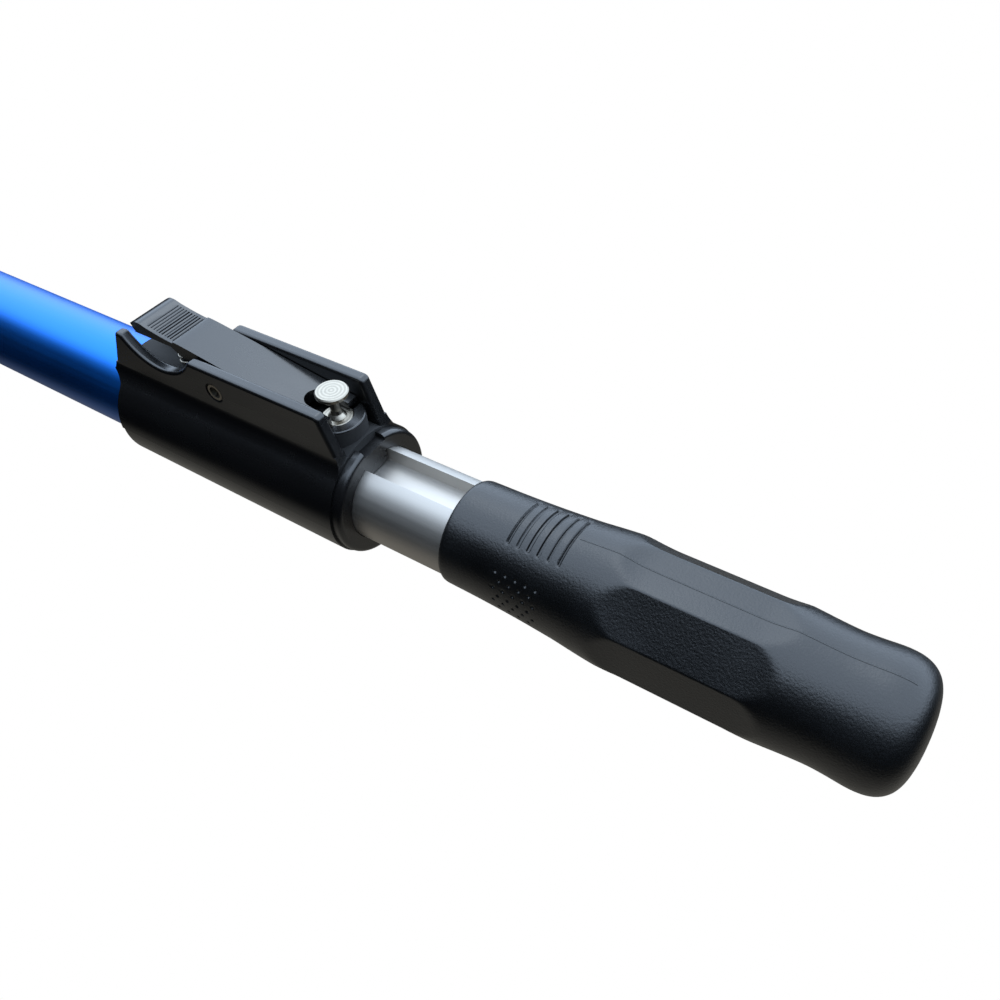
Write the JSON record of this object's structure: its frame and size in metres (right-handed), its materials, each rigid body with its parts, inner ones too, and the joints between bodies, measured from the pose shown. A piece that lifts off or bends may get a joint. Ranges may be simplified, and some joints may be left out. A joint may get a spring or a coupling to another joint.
{
  "type": "boat hook",
  "caption": "Telescopic boat hook: light alloy pole with a lever-and-plunger length lock, rubber-coated hand grip and moulded hook head.",
  "frame": {"origin": "on the pole's axis, at the clip seat on the blue outer tube, 470 mm from the lock housing's mouth", "axes": "+X along the pole from the hook head to the hand grip, +Z towards the lock lever and the hook's open side"},
  "size_m": [1.1353, 0.037, 0.076],
  "materials": {
    "blue_anodised": "satin blue anodised",
    "silver_anodised": "satin clear anodised",
    "black_nylon": "satin moulded black",
    "stainless": "turned stainless",
    "spring_steel": "drawn wire",
    "white_acetal": "turned acetal",
    "foam": "closed-cell foam",
    "grip_rubber": "fine matt grain",
    "head_nylon": "moulded black",
    "nose_rubber": "soft matt black"
  },
  "bodies": {
    "pole": {"outer_tube": "blue_anodised", "lock_housing": "black_nylon", "housing_screws": "stainless", "guide_bush": "black_nylon", "lever_pivot_pin": "stainless", "lever_spring": "spring_steel", "hook_head": "head_nylon", "hook_nose": "nose_rubber", "head_seal": "nose_rubber", "head_rivets": "stainless"},
    "drawtube": {"inner_tube": "silver_anodised", "tail_bush": "white_acetal", "tail_pin": "stainless", "float_plugs": "foam", "grip": "grip_rubber"},
    "lock_lever": {"lever": "black_nylon"},
    "lock_plunger": {"plunger": "stainless"}
  },
  "joints": [
    {"name": "telescope", "type": "slide", "parent": "pole", "child": "drawtube", "axis": [1, 0, 0], "range_m": [0, 0.65]},
    {"name": "lever_rock", "type": "hinge", "parent": "pole", "child": "lock_lever", "pos_m": [0.4257, 0, 0.0239], "axis": [0, -1, 0], "range_deg": [-5.8, 2.5], "stiffness_Nm_per_rad": 0.3, "deforming": ["lever_spring"]},
    {"name": "plunger_lift", "type": "slide", "parent": "pole", "child": "lock_plunger", "axis": [0, 0, 1], "range_m": [-0.0036, 0.0016]}
  ],
  "couplings": [
    {"joint": "plunger_lift", "follows": "lever_rock", "m_per_rad": 0.0346}
  ]
}
